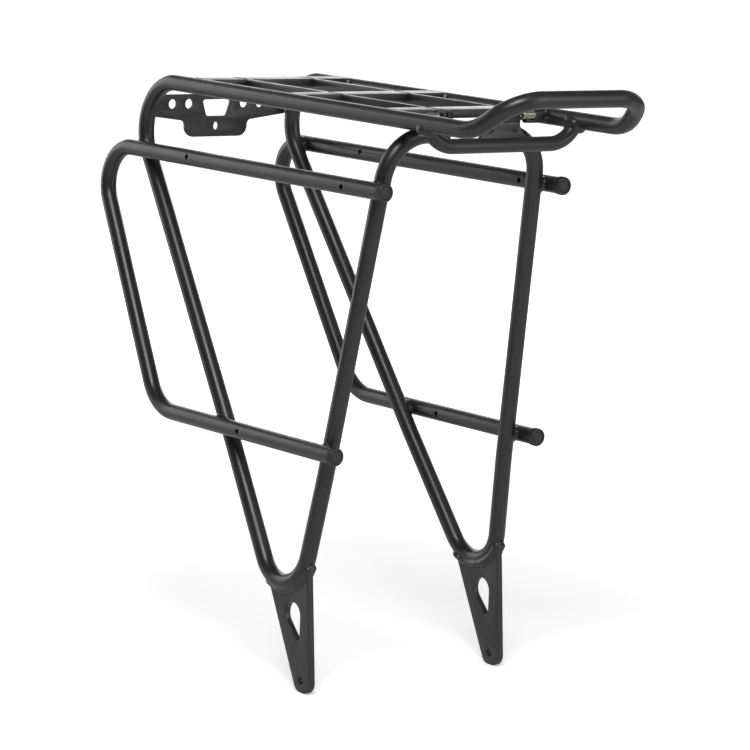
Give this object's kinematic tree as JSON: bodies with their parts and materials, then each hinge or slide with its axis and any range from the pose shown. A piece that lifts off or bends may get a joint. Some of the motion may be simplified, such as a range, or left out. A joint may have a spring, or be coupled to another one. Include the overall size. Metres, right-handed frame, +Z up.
{
  "type": "bicycle rear rack",
  "caption": "Tubular rear rack with a flat slatted deck, raised rear handle, pannier hoops and slotted feet.",
  "frame": {"origin": "midway between the centres of the two foot bolt holes", "axes": "+X to the front of the bicycle, +Y to its left, +Z up"},
  "size_m": [0.465, 0.1944, 0.4418],
  "materials": {
    "coated_alloy": "satin black powder coat over aluminium",
    "cap_plastic": "fine matte black moulded plastic",
    "barrel_steel": "plain turned steel"
  },
  "bodies": {
    "root": {"deck_loop": "coated_alloy", "left_front_leg": "coated_alloy", "right_front_leg": "coated_alloy", "left_rear_leg": "coated_alloy", "right_rear_leg": "coated_alloy", "left_pannier_hoop": "coated_alloy", "right_pannier_hoop": "coated_alloy", "rear_cross_tube": "coated_alloy", "front_cross_bar": "coated_alloy", "middle_cross_bar": "coated_alloy", "rear_cross_bar": "coated_alloy", "left_slat": "coated_alloy", "right_slat": "coated_alloy", "left_slat_lug": "coated_alloy", "right_slat_lug": "coated_alloy", "left_clip_bracket": "coated_alloy", "right_clip_bracket": "coated_alloy", "left_foot_plate": "coated_alloy", "right_foot_plate": "coated_alloy", "stay_plate": "coated_alloy", "tail_light_plate": "coated_alloy", "left_upper_end_cap": "cap_plastic", "left_lower_end_cap": "cap_plastic", "right_upper_end_cap": "cap_plastic", "right_lower_end_cap": "cap_plastic", "left_clip_barrel": "barrel_steel", "right_clip_barrel": "barrel_steel"}
  },
  "joints": []
}
